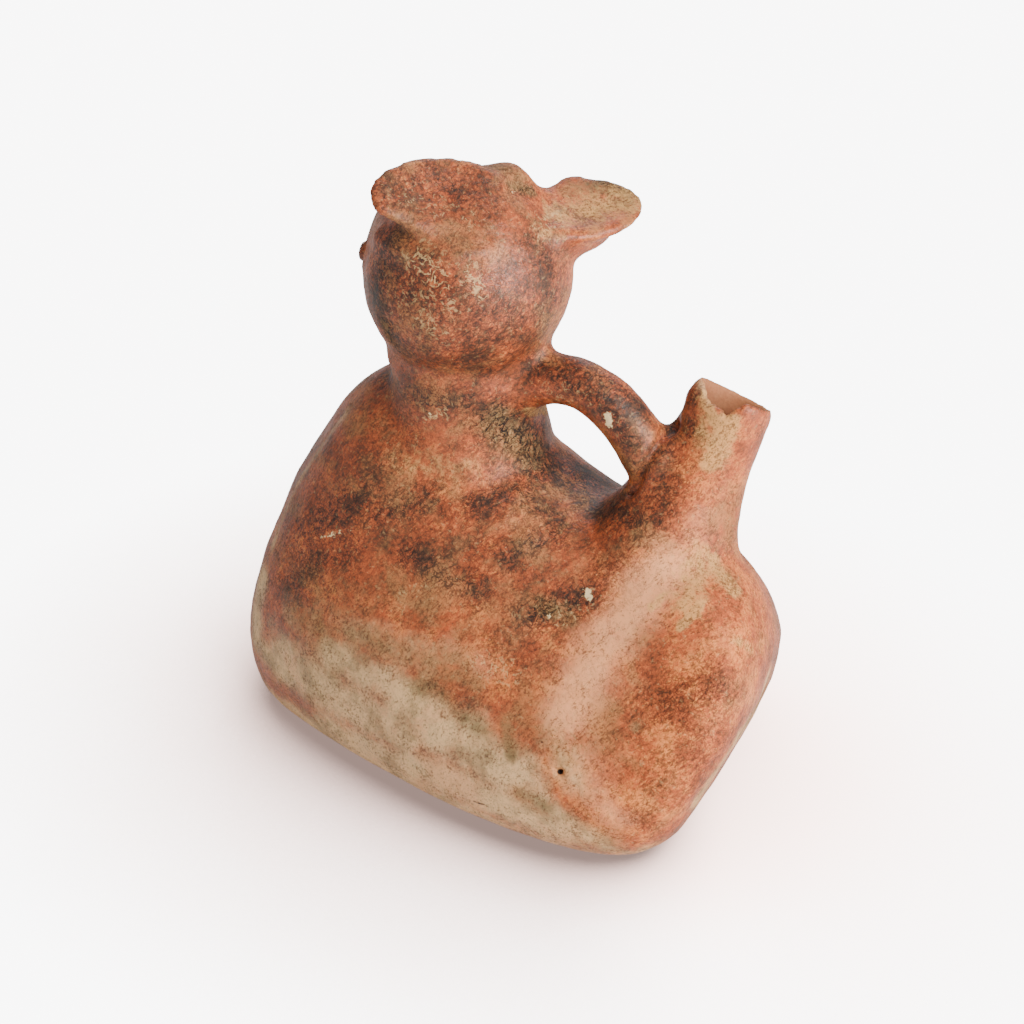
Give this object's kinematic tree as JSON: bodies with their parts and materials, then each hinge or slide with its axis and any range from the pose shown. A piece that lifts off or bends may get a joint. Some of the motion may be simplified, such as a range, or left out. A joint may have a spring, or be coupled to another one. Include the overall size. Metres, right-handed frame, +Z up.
{
  "type": "whistling vessel",
  "caption": "Hollow hand-built earthenware vessel with an animal head and cupped ears at the neck, a bridge handle and a leaning spout with a chipped rim.",
  "frame": {"origin": "on the ground under the middle of the vessel", "axes": "+X along the body from the chest to the spout, +Z up, the head looks towards -X and +Y"},
  "size_m": [0.2084, 0.1416, 0.221],
  "materials": {
    "fired_clay": "burnished red-brown slip with dark mottling"
  },
  "bodies": {
    "root": {"vessel": "fired_clay"}
  },
  "joints": []
}
